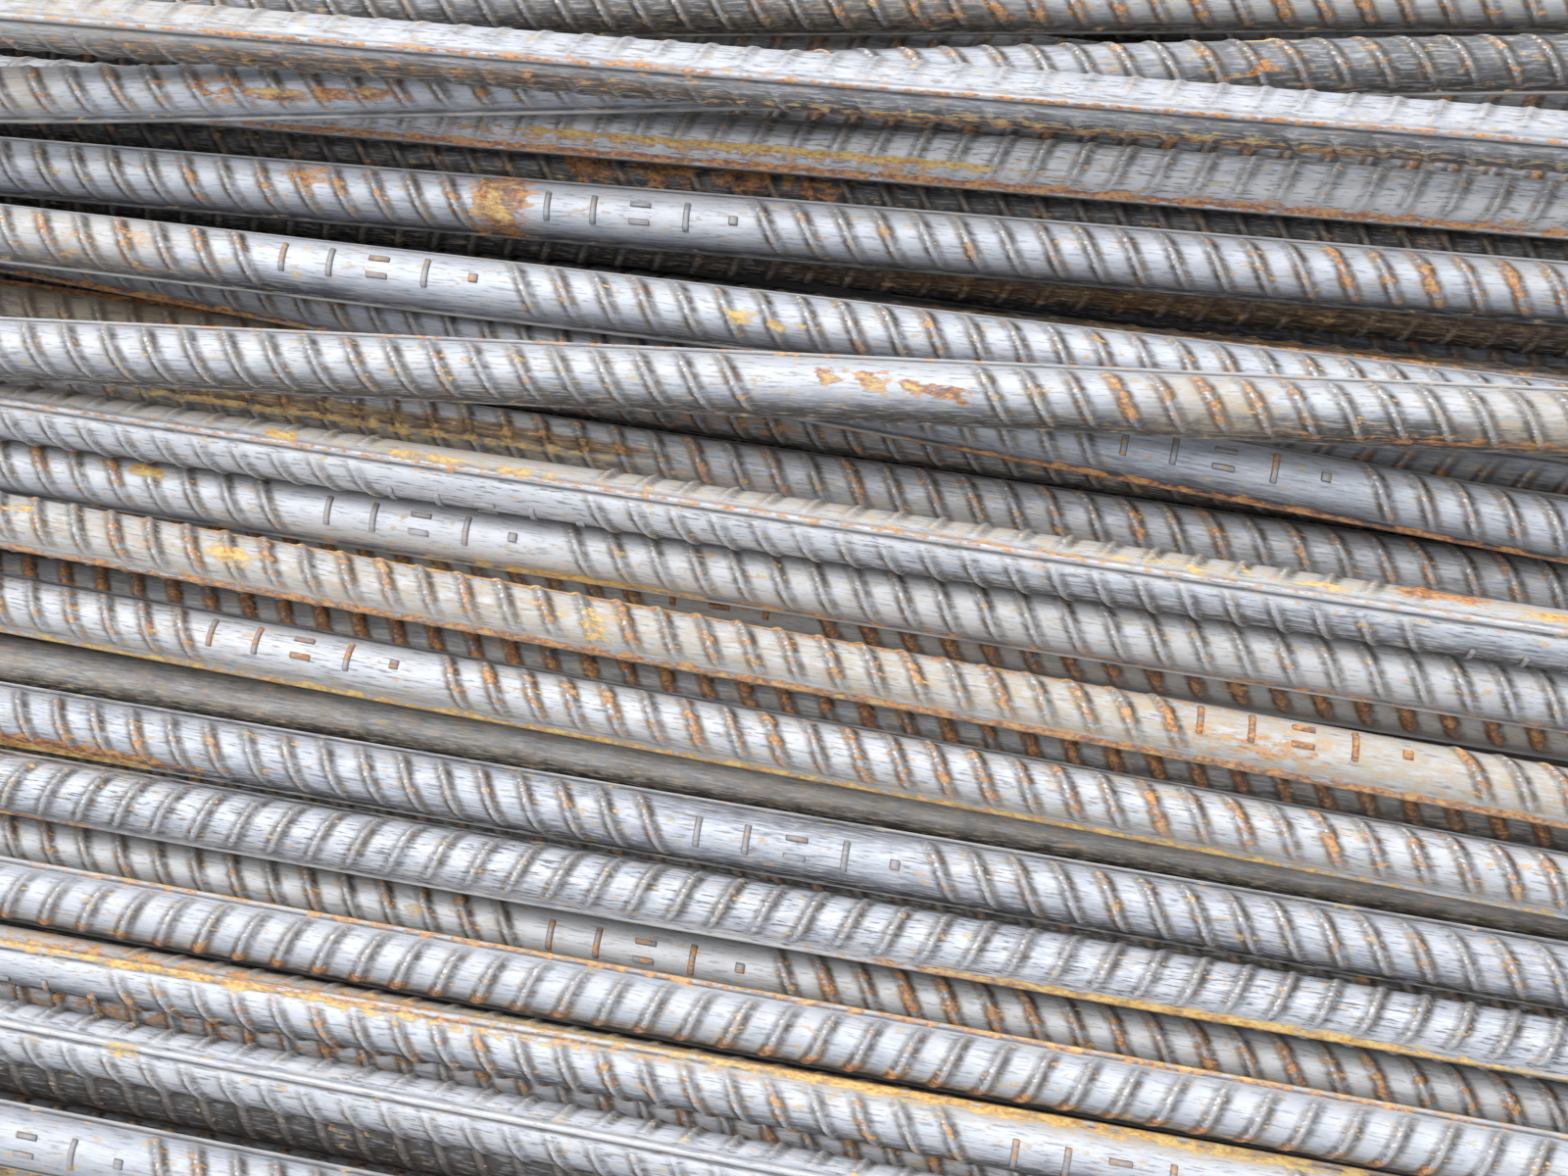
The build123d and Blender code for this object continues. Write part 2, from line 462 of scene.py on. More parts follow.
        "top_bar_17": [(-0.330, 0.120, -40, 60, 0.45), (-0.300, 0.060, 0, 80, 0.35)],
        "top_bar_02": [(0.300, 0.060, -30, 60, 0.25)],
        "top_bar_15": [(-0.300, 0.050, 0, 80, 0.50)],
        "middle_bar_07": [(-0.250, 0.150, -20, 60, 0.80)],
        "top_bar_18": [(0.150, 0.024, 20, 80, 0.60), (0.275, 0.035, 20, 80, 0.65)],
        "middle_bar_08": [(-0.100, 0.200, 60, 40, 0.45)],
        "top_bar_05": [(-0.010, 0.400, -52, 34, 0.75), (0.080, 0.300, -40, 40, 0.50)],
        "top_bar_04": [(0.100, 0.200, 30, 80, 0.30)],
        "top_bar_06": [(-0.120, 0.180, 20, 60, 0.20), (0.180, 0.180, 0, 90, 0.35)],
        "top_bar_07": [(-0.100, 0.300, 60, 30, 0.40), (0.150, 0.150, 60, 30, 0.40)],
        "middle_bar_12": [(-0.010, 0.500, 78, 38, -0.50)],
        "top_bar_11": [(-0.010, 0.400, -62, 30, 0.85)],
    },
}


class Axis:
    """The axis of one packed bar, with its corners eased over a short length."""

    ring_gap = 0.005
    ease = 0.03
    ease_steps = 9
    spacing = 0.004

    def __init__(self, node):
        points = np.array([vertex.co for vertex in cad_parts[node].data.vertices])
        points = points[points[:, 0].argsort()]
        breaks = np.where(np.diff(points[:, 0]) > self.ring_gap)[0] + 1
        corners = np.array([(ring.min(0) + ring.max(0)) / 2 for ring in np.split(points, breaks)])
        along = np.concatenate([[0], np.cumsum(np.linalg.norm(np.diff(corners, axis=0), axis=1))])
        along -= np.interp(0, corners[:, 0], along)
        self.start, self.end = along[0], along[-1]
        self.samples = np.linspace(self.start, self.end, int((self.end - self.start) / self.spacing) + 1)
        reach = np.minimum(self.ease, np.minimum(self.samples - self.start, self.end - self.samples))
        spread = self.samples[:, None] + reach[:, None] * np.linspace(-1, 1, self.ease_steps)
        self.centres = np.stack([np.interp(spread, along, corners[:, k]).mean(1) for k in range(3)], 1)
        tangents = np.gradient(self.centres, self.samples, axis=0)
        self.tangents = tangents / np.linalg.norm(tangents, axis=1)[:, None]

    def sampled(self, along, values):
        """The vectors at these places along, between those of the samples."""
        return np.stack([np.interp(along, self.samples, values[:, k]) for k in range(3)], -1)

    def place(self, along, angle, radius):
        """The points at these places along, at these angles in radians, this far from the axis."""
        tangent = self.sampled(along, self.tangents)
        front = np.cross(tangent, (0, 0, 1))
        front /= np.linalg.norm(front, axis=-1, keepdims=True)
        upward = np.cross(front, tangent)
        outward = np.cos(angle)[..., None] * upward + np.sin(angle)[..., None] * front
        return self.sampled(along, self.centres) + radius[..., None] * outward


def facing(angle):
    """The same angle in degrees, between -180 and 180."""
    return (angle + 180) % 360 - 180


def half_turn(first, last, roll, twist, step):
    """Turns between two lengthwise ribs, close together where the bar faces up."""
    turns = [first]
    while turns[-1] < last:
        faces_up = abs(facing(turns[-1] + roll)) < faces_down + twist
        turns.append(turns[-1] + (step if faces_up else hidden_turn))
    scale = (last - first) / (turns[-1] - first)
    return [first + (turn - first) * scale for turn in turns]


def near_turns(roll, twist, step):
    """The turns of the vertices of a ring in view."""
    foot = lengthwise_foot
    crest = lengthwise_crest
    turns = [0, crest] + half_turn(foot, 180 - foot, roll, twist, step) + [180 - crest, 180, 180 + crest]
    turns += half_turn(180 + foot, 360 - foot, roll, twist, step) + [360 - crest]
    return np.array(turns)


def slanted(turns):
    """How far each turn is across its row of ribs, from -1 to 1, and how far along the slant of the rib."""
    across = (turns % 180) / 90 - 1
    eased = second_slant * across + (1 - second_slant) * across**5
    first_row = turns % 360 < 180
    return np.where(first_row, across, -across), np.where(first_row, across, -eased)


def from_lengthwise(turns):
    """How far each turn is from the nearer lengthwise rib."""
    return np.minimum(turns % 180, 180 - turns % 180)


def mirrored(along):
    """The place in the near stretch whose patches a place repeats, back and forth along the bar."""
    span = near_right - near_left
    place = (along - near_left) % (2 * span)
    return near_left + np.minimum(place, 2 * span - place)


class Bar:
    """One ribbed bar as rings of vertices, which follow the slant of its ribs, and raised marks."""

    # The waves that set the height and the rust of each rib, by its number and by the bar's
    height_wave = (12.9898, 4.1)
    rust_wave = (78.233, 1.7)
    rust_swing = 0.1

    # How far apart the bars are in the grain of the steel
    grain_step = 0.1

    def __init__(self, node, number):
        self.node = node
        self.number = number
        self.axis = Axis(node)
        self.random = np.random.default_rng(number)
        self.first_rib = self.random.uniform(0, rib_pitch)
        turn = self.random.uniform(0, 360)
        self.roll_left, self.roll_right = rolls.get(node, (turn, turn))
        any_finish = tuple(self.random.uniform(least_finish, most_finish))
        self.tone, self.dust, self.rib_rust, self.flaky = finishes.get(node, any_finish)
        self.stretches = smooth_stretches.get(node, [])
        self.rings = []

    def roll(self, along):
        """The angle of the first lengthwise rib at a place along."""
        return np.interp(along, (near_left, near_right), (self.roll_left, self.roll_right))

    def varied(self, ribs, wave):
        """A share between -1 and 1 for each numbered rib, in no plain order."""
        by_rib, by_bar = wave
        return np.sin(ribs * by_rib + self.number * by_bar)

    def heights(self, ribs):
        """The height of each numbered rib as a share of the full height."""
        centre = self.first_rib + ribs * rib_pitch
        height = mean_height + height_swing * self.varied(ribs, self.height_wave)
        height *= worn_ribs.get(self.node, 1)
        for start, stop in self.stretches:
            height = np.where((centre > start) & (centre < stop), 0, height)
        return height

    def add_rings(self, places, turns, radius=None):
        """Adds rings at these places along, before the slant. A ring with its own radius has no ribs."""
        for place in places:
            self.rings.append((place, turns, radius))

    def add_ribs(self, start, stop, offsets, turns):
        """Adds the rings of the ribs between two places."""
        first = int(np.ceil((start - self.first_rib) / rib_pitch))
        last = int(np.floor((stop - self.first_rib) / rib_pitch))
        for number in range(first, last + 1):
            self.add_rings(self.first_rib + number * rib_pitch + offsets, turns)

    def lay_out(self):
        """Chooses the rings: fine in view, coarse where the bar shows from afar, plain where hidden."""
        start, end = self.axis.start, self.axis.end
        first_rib, last_rib = start + rib_pitch, end - rib_pitch
        end_turns = np.arange(0, 360, end_turn)
        far_turns = np.arange(0, 360, far_turn)
        twist = abs(self.roll_right - self.roll_left) / 2
        in_view = self.node in open_bars or self.node in deep_bars
        bounds = [first_rib, near_left, near_right, last_rib] if in_view else [first_rib, last_rib]

        self.add_rings([start], end_turns, core_radius - end_edge)
        self.add_rings([start + end_edge, start + end_collar], end_turns, core_radius)
        for number, (first, last) in enumerate(zip(bounds, bounds[1:])):
            if number == 1 and self.node in open_bars:
                self.add_ribs(first, last, open_rings, near_turns(self.roll(0), twist, open_turn))
            elif number == 1:
                self.add_ribs(first, last, deep_rings, near_turns(self.roll(0), twist, deep_turn))
            elif self.node in outer_bars:
                self.add_ribs(first, last, far_rings, far_turns)
            else:
                count = int((last - first) / plain_step) + 1
                places = np.linspace(first, last, count + 1)
                self.add_rings(places if number == 0 else places[1:], far_turns)
        self.add_rings([end - end_collar, end - end_edge], end_turns, core_radius)
        self.add_rings([end], end_turns, core_radius - end_edge)

    def ring_points(self):
        """The place along, turn, radius, rib phase and rib height of every vertex of the rings."""
        places = np.concatenate([np.full(len(turns), place) for place, turns, _ in self.rings])
        turns = np.concatenate([turns for _, turns, _ in self.rings])
        plain = np.concatenate([np.full(len(turns), radius or 0) for _, turns, radius in self.rings])
        row, slant = slanted(turns)
        reach = core_radius * pi / 2 / tan(radians(rib_slant))
        to_end = np.minimum(places - self.axis.start, self.axis.end - places)
        along = places + slant * reach * np.clip((to_end - end_collar) / rib_pitch / slant_ease, 0, 1)
        phase = (places - self.first_rib) / rib_pitch
        number = np.round(phase)
        height = self.heights(number) * np.maximum(0, 1 - (row / rib_reach) ** 2) ** rib_taper
        height = np.where(plain > 0, 0, height)
        distance = (phase - number) * rib_pitch
        rise = height / (1 + (distance / rib_half_width) ** 4)
        ridge = (lengthwise_foot - from_lengthwise(turns)) / (lengthwise_foot - lengthwise_crest)
        ribbed = core_radius + (crest_radius - core_radius) * np.maximum(rise, np.clip(ridge, 0, 1))
        return along, turns, np.where(plain > 0, plain, ribbed), phase, height

    def mark_points(self):
        """The same for the raised marks of the smooth stretches, pads that follow the bar's round."""
        points = []
        for start, stop in self.stretches:
            if stop - start > longest_marked or self.node in unmarked:
                continue
            middle = (start + stop) / 2
            row_middle = min((90, 270), key=lambda turn: abs(facing(turn + self.roll(middle))))
            for place, aside, half_length, half_breadth in marks:
                lengths = edged(half_length, steps_along)
                breadths = edged(half_breadth, steps_round)
                rim = np.ones((len(breadths), len(lengths)), bool)
                rim[1:-1, 1:-1] = False
                turns, along = np.meshgrid(row_middle + np.degrees((aside + breadths) / core_radius),
                                           middle + place + lengths, indexing="ij")
                radius = np.where(rim, core_radius - mark_root, core_radius + mark_height)
                phase = np.where(rim, mark_rim_phase, mark_top_phase)
                under = np.full(rim.shape, core_radius - 2 * mark_root)
                upper_and_under = [(along, along), (turns, turns), (radius, under), (phase, phase)]
                pad = [np.concatenate([upper.ravel(), lower[~rim]]) for upper, lower in upper_and_under]
                points.append((rim, pad + [np.ones(len(pad[0]))]))
        return points

    def build(self, material):
        """Makes the mesh, its attributes and the piece."""
        self.lay_out()
        triangles, quads, caps = self.ring_faces()
        parts = [self.ring_points()]
        count = len(parts[0][0])
        for rim, part in self.mark_points():
            quads.append(count + pad_faces(rim))
            parts.append(part)
            count += len(part[0])
        along, turns, radius, phase, height = [np.concatenate(values) for values in zip(*parts)]
        angle = turns + self.roll(along)
        points = self.axis.place(along, np.radians(angle), radius)
        mesh = bpy.data.meshes.new(self.node + "_ribbed")
        fill_mesh(mesh, points, triangles, np.concatenate(quads), caps)
        self.add_surface(mesh, along, turns, radius, phase, height)
        self.add_finish(mesh, along, facing(angle), np.round(phase))
        mesh.materials.append(material)
        piece = bpy.data.objects.new(self.node + "_ribbed", mesh)
        bpy.context.scene.collection.objects.link(piece)
        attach(piece, "root")
        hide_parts(self.node)

    def add_surface(self, mesh, along, turns, radius, phase, height):
        """Stores where each vertex is in the grain, across the slanting ribs and from the lengthwise."""
        round_turn = np.radians(turns)
        shift = self.grain_step * self.number
        grain = [along, radius * np.cos(round_turn) + shift, radius * np.sin(round_turn)]
        add_attribute(mesh, "grain", np.stack(grain, 1))
        add_attribute(mesh, "rib_phase", phase)
        add_attribute(mesh, "rib_height", height)
        add_attribute(mesh, "fin", from_lengthwise(turns))
        add_attribute(mesh, "fin_side", np.sign(np.sin(np.radians(2 * turns)).round(6)))

    def add_finish(self, mesh, along, angle, ribs):
        """Stores each vertex's painted shade and highlights by where it faces, and its tone, dust and rust
        by the bar's patches.
        """
        # Painted shade: the front and the underside of the bar are darkened
        in_front = np.interp(angle, (22, 82), (0, 1))
        underneath = np.interp(abs(angle), (62, 92), (0, 1.5))
        painted_shade = painted_shade_strength * (in_front + underneath)
        uneven = self.rust_swing * self.varied(ribs, self.rust_wave)
        pale = np.interp(self.tone, (0.1225, 0.55), (0.05, 1))
        add_attribute(mesh, "flaky", np.full(len(along), self.flaky))
        add_attribute(mesh, "pale", np.full(len(along), pale))
        # How far each vertex faces the front: it moves the painted shade at the feet of the slanting ribs
        # and strengthens the painted highlight on their crests
        add_attribute(mesh, "front", np.interp(angle, (-20, 40), (0, 1)))
        # How strong the painted highlight on a lengthwise rib's crest is, by where it faces
        add_attribute(mesh, "crest", np.interp(abs(angle), (10, 50, 88, 98), (0.4, 1, 1, 0.1)))
        add_attribute(mesh, "tone", self.painted("tone", along, angle, self.tone) - painted_shade)
        add_attribute(mesh, "dust", self.painted("dust", along, angle, self.dust))
        add_attribute(mesh, "rib_rust", self.painted("ribs", along, angle, self.rib_rust) + uneven)
        for kind in ("stain", "rust", "yellow"):
            add_attribute(mesh, kind, self.painted(kind, along, angle, 0))

    def painted(self, kind, along, angle, base):
        """How much of this kind of patch each vertex has, added to what the whole bar has."""
        amount = np.zeros(len(along))
        near = (along > near_left) & (along < near_right)
        along = mirrored(along)
        for place, half_length, middle, half_spread, strength in patches[kind].get(self.node, []):
            spread = np.where(near, half_spread, max(half_spread, far_spread))
            fade = ((along - place) / half_length) ** 4 + (facing(angle - middle) / spread) ** 4
            share = strength * half_spread / spread * np.exp(-fade)
            amount = np.where(abs(share) > abs(amount), share, amount)
        return base + amount

    def ring_faces(self):
        """The triangles that join unlike rings, the quads between like rings, and the caps of both ends."""
        triangles = []
        quads = []
        start = 0
        for (_, turns, _), (_, following, _) in zip(self.rings, self.rings[1:]):
            count = len(turns)
            after = start + count
            if np.array_equal(turns, following):
                near = np.arange(count)
                far = (near + 1) % count
                quads.append(np.stack([start + near, start + far, after + far, after + near], 1))
            else:
                triangles += zipped(start, turns, after, following)
            start = after
        count = len(self.rings[0][1])
        caps = [(0, k + 1, k) for k in range(1, count - 1)]
        caps += [(start, start + k, start + k + 1) for k in range(1, count - 1)]
        return np.array(triangles), quads, np.array(caps)


def edged(half, steps):
    """Offsets across a pad, with a sloping edge at each side and even steps between."""
    crest = max(half - mark_edge, mark_edge / 2)
    return np.concatenate([[-half], np.linspace(-crest, crest, steps), [half]])


def pad_faces(rim):
    """The quads of a pad: its top, and its underside, which shares the rim."""
    upper = np.arange(rim.size).reshape(rim.shape)
    under = upper.copy()
    under[~rim] = rim.size + np.arange((~rim).sum())
    top = np.stack([upper[:-1, :-1], upper[1:, :-1], upper[1:, 1:], upper[:-1, 1:]], -1)
    bottom = np.stack([under[:-1, :-1], under[:-1, 1:], under[1:, 1:], under[1:, :-1]], -1)
    return np.concatenate([top.reshape(-1, 4), bottom.reshape(-1, 4)])


def zipped(first, turns, second, following):
    """Triangles between two rings with unlike numbers of vertices."""
    near = list(turns) + [360]
    far = list(following) + [360]
    triangles = []
    a = b = 0
    while a < len(turns) or b < len(following):
        near_now, far_now = first + a % len(turns), second + b % len(following)
        if b == len(following) or (a < len(turns) and near[a + 1] <= far[b + 1]):
            triangles.append((near_now, first + (a + 1) % len(turns), far_now))
            a += 1
        else:
            triangles.append((near_now, second + (b + 1) % len(following), far_now))
            b += 1
    return triangles


def fill_mesh(mesh, vertices, triangles, quads, caps):
    """Fills a mesh from arrays. Its caps are flat, and the rest is shaded smooth."""
    groups = [(triangles, True), (quads, True), (caps, False)]
    loops = np.concatenate([faces.ravel() for faces, _ in groups]).astype(np.int32)
    sizes = np.concatenate([np.full(len(faces), faces.shape[1]) for faces, _ in groups])
    smooth = np.concatenate([np.full(len(faces), is_smooth) for faces, is_smooth in groups])
    starts = np.concatenate([[0], np.cumsum(sizes)[:-1]]).astype(np.int32)
    mesh.vertices.add(len(vertices))
    mesh.vertices.foreach_set("co", vertices.astype(np.float32).ravel())
    mesh.loops.add(len(loops))
    mesh.loops.foreach_set("vertex_index", loops)
    mesh.polygons.add(len(sizes))
    mesh.polygons.foreach_set("loop_start", starts)
    mesh.polygons.foreach_set("use_smooth", smooth)
    mesh.update(calc_edges=True)
    mesh.validate()


def add_attribute(mesh, name, values):
    """Stores one number or one vector for each vertex."""
    values = np.asarray(values, np.float32)
    kind, field = ("FLOAT_VECTOR", "vector") if values.ndim == 2 else ("FLOAT", "value")
    mesh.attributes.new(name, kind, "POINT").data.foreach_set(field, values.ravel())


class Nodes:
    """Nodes wired by short calls. An input is a number, a colour or another node's output."""

    def __init__(self, tree):
        self.tree = tree

    def connect(self, socket, value):
        if isinstance(value, bpy.types.NodeSocket):
            self.tree.links.new(value, socket)
        elif isinstance(value, tuple) and socket.type == "RGBA":
            socket.default_value = (*value, 1)
        else:
            socket.default_value = value

    def node(self, kind, inputs, output=0, **settings):
        made = self.tree.nodes.new("ShaderNode" + kind)
        for name, value in settings.items():
            setattr(made, name, value)
        for key, value in inputs.items():
            self.connect(made.inputs[key], value)
        return made.outputs[output]

    def attribute(self, name, output="Fac"):
        return self.node("Attribute", {}, output, attribute_name=name)

    def math(self, operation, *values):
        return self.node("Math", dict(enumerate(values)), operation=operation)

    def chained(self, operation, first, others):
        for other in others:
            first = self.math(operation, first, other)
        return first

    def total(self, first, *others):
        return self.chained("ADD", first, others)

    def product(self, first, *others):
        return self.chained("MULTIPLY", first, others)

    def largest(self, first, *others):
        return self.chained("MAXIMUM", first, others)

    def linear(self, value, factor, offset):
        return self.math("MULTIPLY_ADD", value, factor, offset)

    def around_zero(self, noise, strength):
        """A noise as an amount that is as often below zero as above."""
        return self.linear(noise, strength, -strength / 2)

    def ramp(self, value, low, high, start=0.0, stop=1.0):
        """Goes smoothly from start to stop as value goes from low to high."""
        inputs = {"Value": value, "From Min": low, "From Max": high, "To Min": start, "To Max": stop}
        return self.node("MapRange", inputs, interpolation_type="SMOOTHSTEP")

    def gradient(self, value, stops):
        """The colour at this value between colour stops."""
        made = self.tree.nodes.new("ShaderNodeValToRGB")
        self.connect(made.inputs[0], value)
        elements = made.color_ramp.elements
        while len(elements) < len(stops):
            elements.new(1.0)
        for element, (place, colour) in zip(elements, stops):
            element.position = place
            element.color = (*colour, 1)
        return made.outputs[0]

    def mix(self, share, first, second):
        return self.node("Mix", {0: share, 6: first, 7: second}, 2, data_type="RGBA")

    def noise(self, place, along, around, detail, roughness=0.5):
        """A noise with this many waves to the metre along the bar and round it."""
        vector = self.node("VectorMath", {0: place, 1: (along, around, around)}, operation="MULTIPLY")
        inputs = {"Vector": vector, "Scale": 1.0, "Detail": detail, "Roughness": roughness}
        return self.node("TexNoise", inputs)


class Material(Nodes):
    """A material with one surface."""

    def __init__(self, name):
        self.material = bpy.data.materials.new(name)
        self.material.use_nodes = True
        super().__init__(self.material.node_tree)

    def surface(self, inputs):
        """Connects the inputs of the surface and gives the material."""
        sockets = self.tree.nodes["Principled BSDF"].inputs
        for name, value in inputs.items():
            self.connect(sockets[name], value)
        return self.material


class Steel(Material):
    """Rolled steel with blue-grey mill scale, dusty in places, with rust on its ribs and in patches."""

    scale_colours = [
        (0.00, (0.022, 0.019, 0.018)),
        (0.30, (0.122, 0.132, 0.158)),
        (0.55, (0.455, 0.490, 0.565)),
        (0.78, (0.630, 0.670, 0.755)),
        (1.00, (0.770, 0.795, 0.850)),
    ]
    stain_colours = [
        (0.38, (0.075, 0.042, 0.026)),
        (0.50, (0.210, 0.125, 0.055)),
        (0.62, (0.430, 0.270, 0.105)),
    ]
    rust_colours = [
        (0.36, (0.20, 0.085, 0.045)),
        (0.48, (0.47, 0.185, 0.070)),
        (0.58, (0.86, 0.42, 0.14)),
    ]
    yellow_colours = [
        (0.38, (0.55, 0.27, 0.07)),
        (0.48, (0.84, 0.49, 0.14)),
        (0.58, (0.95, 0.71, 0.30)),
    ]
    yellow_edge = (0.66, 0.52, 0.34)
    flake_colour = (0.85, 0.86, 0.89)
    pit_colour = (0.11, 0.10, 0.10)
    dust_colour = (0.64, 0.55, 0.43)
    fin_dirt = (0.075, 0.060, 0.052)
    fin_highlight = (0.80, 0.785, 0.77)
    rib_halo = (0.60, 0.52, 0.39)
    rib_dirt_and_shade = (0.062, 0.048, 0.042)
    rib_dull = (0.30, 0.265, 0.24)
    rib_highlight = (0.66, 0.68, 0.72)
    rib_glint = (0.90, 0.89, 0.88)

    def __init__(self):
        super().__init__("bar_steel")
        grain = self.attribute("grain", "Vector")
        self.clouds = self.noise(grain, 40, 110, 1.0)
        self.streaks = self.noise(grain, 120, 1100, 2.0, 0.6)
        self.specks = self.noise(grain, 420, 900, 1.0)
        self.blotches = self.noise(grain, 150, 320, 2.0, 0.6)
        self.mottled = self.total(self.product(self.specks, 0.4), self.product(self.blotches, 0.6))
        self.ragged = self.around_zero(self.blotches, 1.6)
        self.fibres = self.total(self.ragged, self.around_zero(self.streaks, 0.9))

        # Where the surface is across a slanting rib, in pitches from its middle, and how tall the rib is
        phase = self.math("FRACT", self.total(self.attribute("rib_phase"), 0.5))
        self.aside = self.math("SUBTRACT", phase, 0.5)
        self.distance = self.math("ABSOLUTE", self.aside)
        self.ribbed = self.ramp(self.attribute("rib_height"), 0.05, 0.85)
        self.rib_rust = self.attribute("rib_rust")

        # What dulls the metal
        self.covers = []

    def build(self):
        """Lays the finish from the bare scale up and gives the material."""
        colour = self.mill_scale()
        colour = self.dust(colour)
        colour = self.lengthwise_ribs(colour)
        colour = self.slanting_ribs(colour)
        colour = self.stains(colour)
        colour = self.rust(colour)
        colour = self.yellow(colour)
        covered = self.largest(*self.covers)
        return self.surface({
            "Base Color": colour,
            "Roughness": self.linear(covered, 0.2, 0.5),
            "Metallic": self.ramp(covered, 0.0, 0.8, 0.28, 0.02),
            "Normal": self.node("Bump", {"Strength": 0.6, "Distance": 0.00025, "Height": self.streaks}),
        })

    def mill_scale(self):
        """Mill scale, with pale flakes and dark pits drawn out along the bar."""
        flaky = self.attribute("flaky")
        # The tone carries the painted shade of the front and underside and of the darker tone patches, and
        # the painted light of the paler ones
        tone = self.total(self.attribute("tone"), self.around_zero(self.clouds, 0.35))
        colour = self.gradient(tone, self.scale_colours)
        flakes = self.product(self.ramp(self.streaks, 0.51, 0.62), self.linear(flaky, 0.75, 0.10))
        colour = self.mix(flakes, colour, self.flake_colour)
        pits = self.product(self.ramp(self.streaks, 0.45, 0.35), self.linear(flaky, 0.55, 0.25))
        return self.mix(pits, colour, self.pit_colour)

    def dust(self, colour):
        """Dust, thicker in blotches."""
        dusty = self.product(self.attribute("dust"), self.ramp(self.blotches, 0.34, 0.60, 0.45, 1.0))
        self.covers.append(dusty)
        return self.mix(dusty, colour, self.dust_colour)

    def lengthwise_ribs(self, colour):
        """The lengthwise ribs have a painted highlight along their crest, with dirt along their foot at the
        front.
        """
        fin = self.attribute("fin")
        foot = self.product(self.ramp(fin, 4.5, 7.5), self.ramp(fin, 15.0, 8.5))
        foot = self.product(foot, self.ramp(self.attribute("fin_side"), -0.6, 0.6, 0.3, 0.75))
        colour = self.mix(foot, colour, self.fin_dirt)
        # A painted highlight along the crest, weaker on top and fading away underneath
        crest = self.product(self.ramp(fin, 6.0, 4.0), self.ramp(self.clouds, 0.40, 0.55, 0.45, 0.90))
        crest = self.product(crest, self.attribute("crest"))
        return self.mix(crest, colour, self.fin_highlight)

    def slanting_ribs(self, colour):
        """The slanting ribs have dust beside them, dirt and painted shade at both feet, and painted
        highlights and glints on their crests.
        """
        front = self.attribute("front")
        pale = self.attribute("pale")
        halo = self.product(self.ramp(self.distance, 0.45, 0.24), self.ribbed)
        halo = self.product(halo, self.ramp(self.blotches, 0.40, 0.60), self.rib_rust, 0.9)
        colour = self.mix(halo, colour, self.rib_halo)

        # Dirt and painted shade at both feet; the painted shade shifts from the far foot to the near foot
        # towards the front
        far_foot = self.product(self.ramp(self.aside, 0.00, 0.12), self.ramp(self.aside, 0.36, 0.18))
        far_foot = self.product(far_foot, self.linear(front, -0.3, 1.0))
        near_foot = self.product(self.ramp(self.aside, -0.02, -0.11), self.ramp(self.aside, -0.30, -0.15))
        near_foot = self.product(near_foot, self.linear(front, 0.4, 0.55))
        foot = self.product(self.total(far_foot, near_foot), self.ribbed)
        foot = self.product(foot, self.ramp(self.blotches, 0.32, 0.60, 0.55, 1.0))
        foot = self.product(foot, self.linear(self.rib_rust, 0.4, 0.82))
        colour = self.mix(foot, colour, self.rib_dirt_and_shade)

        dull = self.product(self.ramp(self.distance, 0.15, 0.07), self.ribbed)
        dull = self.product(dull, self.linear(front, -0.35, 0.60))
        colour = self.mix(dull, colour, self.rib_dull)
        # A painted highlight on the crests, stronger towards the front
        painted_crest_highlight = self.product(self.ramp(self.distance, 0.10, 0.03), self.ribbed, front, pale, 0.38)
        colour = self.mix(painted_crest_highlight, colour, self.rib_highlight)
        # Painted glints in spots along the crests
        glint = self.product(self.ramp(self.aside, -0.13, -0.05), self.ramp(self.aside, 0.04, -0.02))
        glint = self.product(glint, self.ribbed, pale, self.ramp(self.specks, 0.54, 0.64, 0.0, 0.75))
        return self.mix(glint, colour, self.rib_glint)

    def stains(self, colour):
        """Brown stains, drawn out along the bar, that lie over its ribs."""
        amount = self.total(self.attribute("stain"), self.around_zero(self.clouds, 0.6))
        drawn_out = self.total(self.product(self.streaks, 0.6), self.product(self.blotches, 0.4))
        stain_colour = self.gradient(drawn_out, self.stain_colours)
        return self.mix(self.ramp(amount, 0.25, 0.70, 0.0, 0.9), colour, stain_colour)

    def rust(self, colour):
        """Rust on the slanting ribs, and in patches drawn out along the bar."""
        on_ribs = self.ramp(self.total(self.rib_rust, self.ragged), 0.40, 0.80)
        on_ribs = self.product(on_ribs, self.ramp(self.distance, 0.24, 0.06), self.ribbed)
        in_patches = self.ramp(self.total(self.attribute("rust"), self.fibres), 0.24, 0.54)
        rusted = self.largest(in_patches, on_ribs)
        self.covers.append(rusted)
        return self.mix(self.product(rusted, 0.85), colour, self.gradient(self.mottled, self.rust_colours))

    def yellow(self, colour):
        """Yellow rust in patches, with a tan edge."""
        amount = self.total(self.attribute("yellow"), self.fibres)
        self.covers.append(self.ramp(amount, 0.20, 0.42))
        colour = self.mix(self.ramp(amount, 0.20, 0.42, 0.0, 0.65), colour, self.yellow_edge)
        yellow_colour = self.gradient(self.mottled, self.yellow_colours)
        return self.mix(self.ramp(amount, 0.34, 0.62, 0.0, 0.9), colour, yellow_colour)


def make_bars():
    """Makes every bar of the bundle."""
    steel = Steel().build()
    for number, node in enumerate(sorted(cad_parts), 1):
        Bar(node, number).build(steel)


